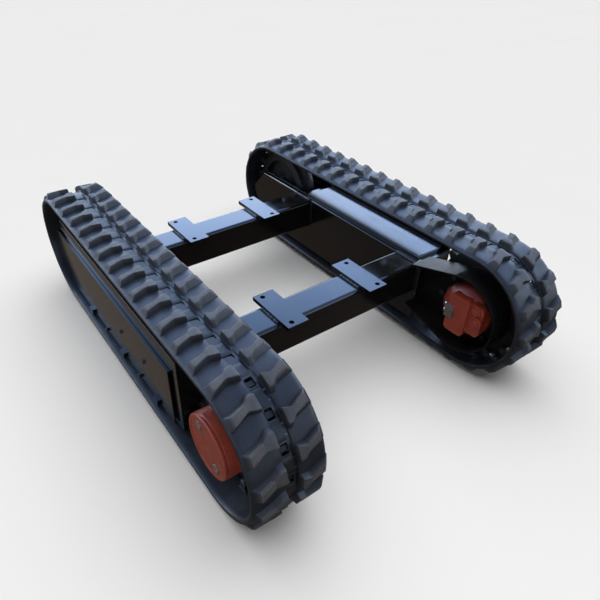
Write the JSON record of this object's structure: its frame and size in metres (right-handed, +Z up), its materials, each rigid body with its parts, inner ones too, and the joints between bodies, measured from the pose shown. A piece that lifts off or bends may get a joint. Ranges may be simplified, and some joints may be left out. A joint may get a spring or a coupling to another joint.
{
  "type": "rubber track undercarriage",
  "caption": "Rubber-track undercarriage: two crawler tracks on welded frames joined by box cross beams with drilled mounting plates, with hydraulic drives, idlers and bottom rollers.",
  "frame": {"origin": "centre of the footprint, on the ground", "axes": "+Z up, +Y forward along the tracks towards the idlers, +X to the right"},
  "size_m": [0.992, 1.32, 0.384],
  "materials": {
    "black_paint": "glossy",
    "red_paint": "semi-gloss",
    "track_rubber": "matte",
    "core_iron": "worn",
    "wheel_iron": "satin",
    "bright_steel": "zinc plated",
    "dark_steel": "satin"
  },
  "bodies": {
    "chassis": {"cross_beam_rear": "black_paint", "cross_beam_front": "black_paint", "mounting_plates_rear": "black_paint", "mounting_plates_front": "black_paint", "rubber_track_left": "track_rubber", "track_cores_left": "core_iron", "motor_plate_left": "black_paint", "motor_guard_left": "black_paint", "motor_body_left": "red_paint", "motor_fittings_left": "bright_steel", "motor_bolts_left": "dark_steel", "frame_wall_inner_left": "black_paint", "frame_wall_outer_left": "black_paint", "side_cover_left": "black_paint", "cover_fixings_left": "black_paint", "frame_deck_left": "black_paint", "deck_lid_left": "black_paint", "frame_floor_left": "black_paint", "recoil_spring_left": "dark_steel", "grease_cylinder_left": "black_paint", "roller_axles_left": "dark_steel", "rubber_track_right": "track_rubber", "track_cores_right": "core_iron", "motor_plate_right": "black_paint", "motor_guard_right": "black_paint", "motor_body_right": "red_paint", "motor_fittings_right": "bright_steel", "motor_bolts_right": "dark_steel", "frame_wall_inner_right": "black_paint", "frame_wall_outer_right": "black_paint", "side_cover_right": "black_paint", "cover_fixings_right": "black_paint", "frame_deck_right": "black_paint", "deck_lid_right": "black_paint", "frame_floor_right": "black_paint", "recoil_spring_right": "dark_steel", "grease_cylinder_right": "black_paint", "roller_axles_right": "dark_steel"},
    "drive_left": {"sprocket_left": "wheel_iron", "drive_hub_left": "red_paint", "drive_cover_left": "red_paint", "drive_plugs_left": "bright_steel", "sprocket_bolts_left": "dark_steel"},
    "idler_carriage_left": {"idler_yoke_left": "wheel_iron", "idler_axle_left": "dark_steel"},
    "idler_wheel_left": {"idler_left": "wheel_iron"},
    "bottom_roller_1_left": {"roller_1_left": "wheel_iron"},
    "bottom_roller_2_left": {"roller_2_left": "wheel_iron"},
    "bottom_roller_3_left": {"roller_3_left": "wheel_iron"},
    "drive_right": {"sprocket_right": "wheel_iron", "drive_hub_right": "red_paint", "drive_cover_right": "red_paint", "drive_plugs_right": "bright_steel", "sprocket_bolts_right": "dark_steel"},
    "idler_carriage_right": {"idler_yoke_right": "wheel_iron", "idler_axle_right": "dark_steel"},
    "idler_wheel_right": {"idler_right": "wheel_iron"},
    "bottom_roller_1_right": {"roller_1_right": "wheel_iron"},
    "bottom_roller_2_right": {"roller_2_right": "wheel_iron"},
    "bottom_roller_3_right": {"roller_3_right": "wheel_iron"}
  },
  "joints": [
    {"name": "drive_spin_left", "type": "hinge", "parent": "chassis", "child": "drive_left", "pos_m": [-0.406, -0.468, 0.19199], "axis": [1, 0, 0], "continuous": true},
    {"name": "idler_recoil_left", "type": "slide", "parent": "chassis", "child": "idler_carriage_left", "axis": [0, 1, 0], "range_m": [-0.02, 0], "stiffness_N_per_m": 20000, "springref_m": 0.005, "deforming": ["recoil_spring_left"]},
    {"name": "idler_spin_left", "type": "hinge", "parent": "idler_carriage_left", "child": "idler_wheel_left", "pos_m": [-0.406, 0.468, 0.19199], "axis": [1, 0, 0], "continuous": true},
    {"name": "roller_1_spin_left", "type": "hinge", "parent": "chassis", "child": "bottom_roller_1_left", "pos_m": [-0.406, -0.166, 0.0725], "axis": [1, 0, 0], "continuous": true},
    {"name": "roller_2_spin_left", "type": "hinge", "parent": "chassis", "child": "bottom_roller_2_left", "pos_m": [-0.406, 0.072, 0.0725], "axis": [1, 0, 0], "continuous": true},
    {"name": "roller_3_spin_left", "type": "hinge", "parent": "chassis", "child": "bottom_roller_3_left", "pos_m": [-0.406, 0.31, 0.0725], "axis": [1, 0, 0], "continuous": true},
    {"name": "drive_spin_right", "type": "hinge", "parent": "chassis", "child": "drive_right", "pos_m": [0.406, -0.468, 0.19199], "axis": [1, 0, 0], "continuous": true},
    {"name": "idler_recoil_right", "type": "slide", "parent": "chassis", "child": "idler_carriage_right", "axis": [0, 1, 0], "range_m": [-0.02, 0], "stiffness_N_per_m": 20000, "springref_m": 0.005, "deforming": ["recoil_spring_right"]},
    {"name": "idler_spin_right", "type": "hinge", "parent": "idler_carriage_right", "child": "idler_wheel_right", "pos_m": [0.406, 0.468, 0.19199], "axis": [1, 0, 0], "continuous": true},
    {"name": "roller_1_spin_right", "type": "hinge", "parent": "chassis", "child": "bottom_roller_1_right", "pos_m": [0.406, -0.166, 0.0725], "axis": [1, 0, 0], "continuous": true},
    {"name": "roller_2_spin_right", "type": "hinge", "parent": "chassis", "child": "bottom_roller_2_right", "pos_m": [0.406, 0.072, 0.0725], "axis": [1, 0, 0], "continuous": true},
    {"name": "roller_3_spin_right", "type": "hinge", "parent": "chassis", "child": "bottom_roller_3_right", "pos_m": [0.406, 0.31, 0.0725], "axis": [1, 0, 0], "continuous": true}
  ],
  "couplings": [
    {"joint": "idler_spin_left", "follows": "drive_spin_left", "ratio": 1},
    {"joint": "roller_1_spin_left", "follows": "drive_spin_left", "ratio": 4.0926},
    {"joint": "roller_2_spin_left", "follows": "drive_spin_left", "ratio": 4.0926},
    {"joint": "roller_3_spin_left", "follows": "drive_spin_left", "ratio": 4.0926},
    {"joint": "idler_spin_right", "follows": "drive_spin_right", "ratio": 1},
    {"joint": "roller_1_spin_right", "follows": "drive_spin_right", "ratio": 4.0926},
    {"joint": "roller_2_spin_right", "follows": "drive_spin_right", "ratio": 4.0926},
    {"joint": "roller_3_spin_right", "follows": "drive_spin_right", "ratio": 4.0926}
  ]
}
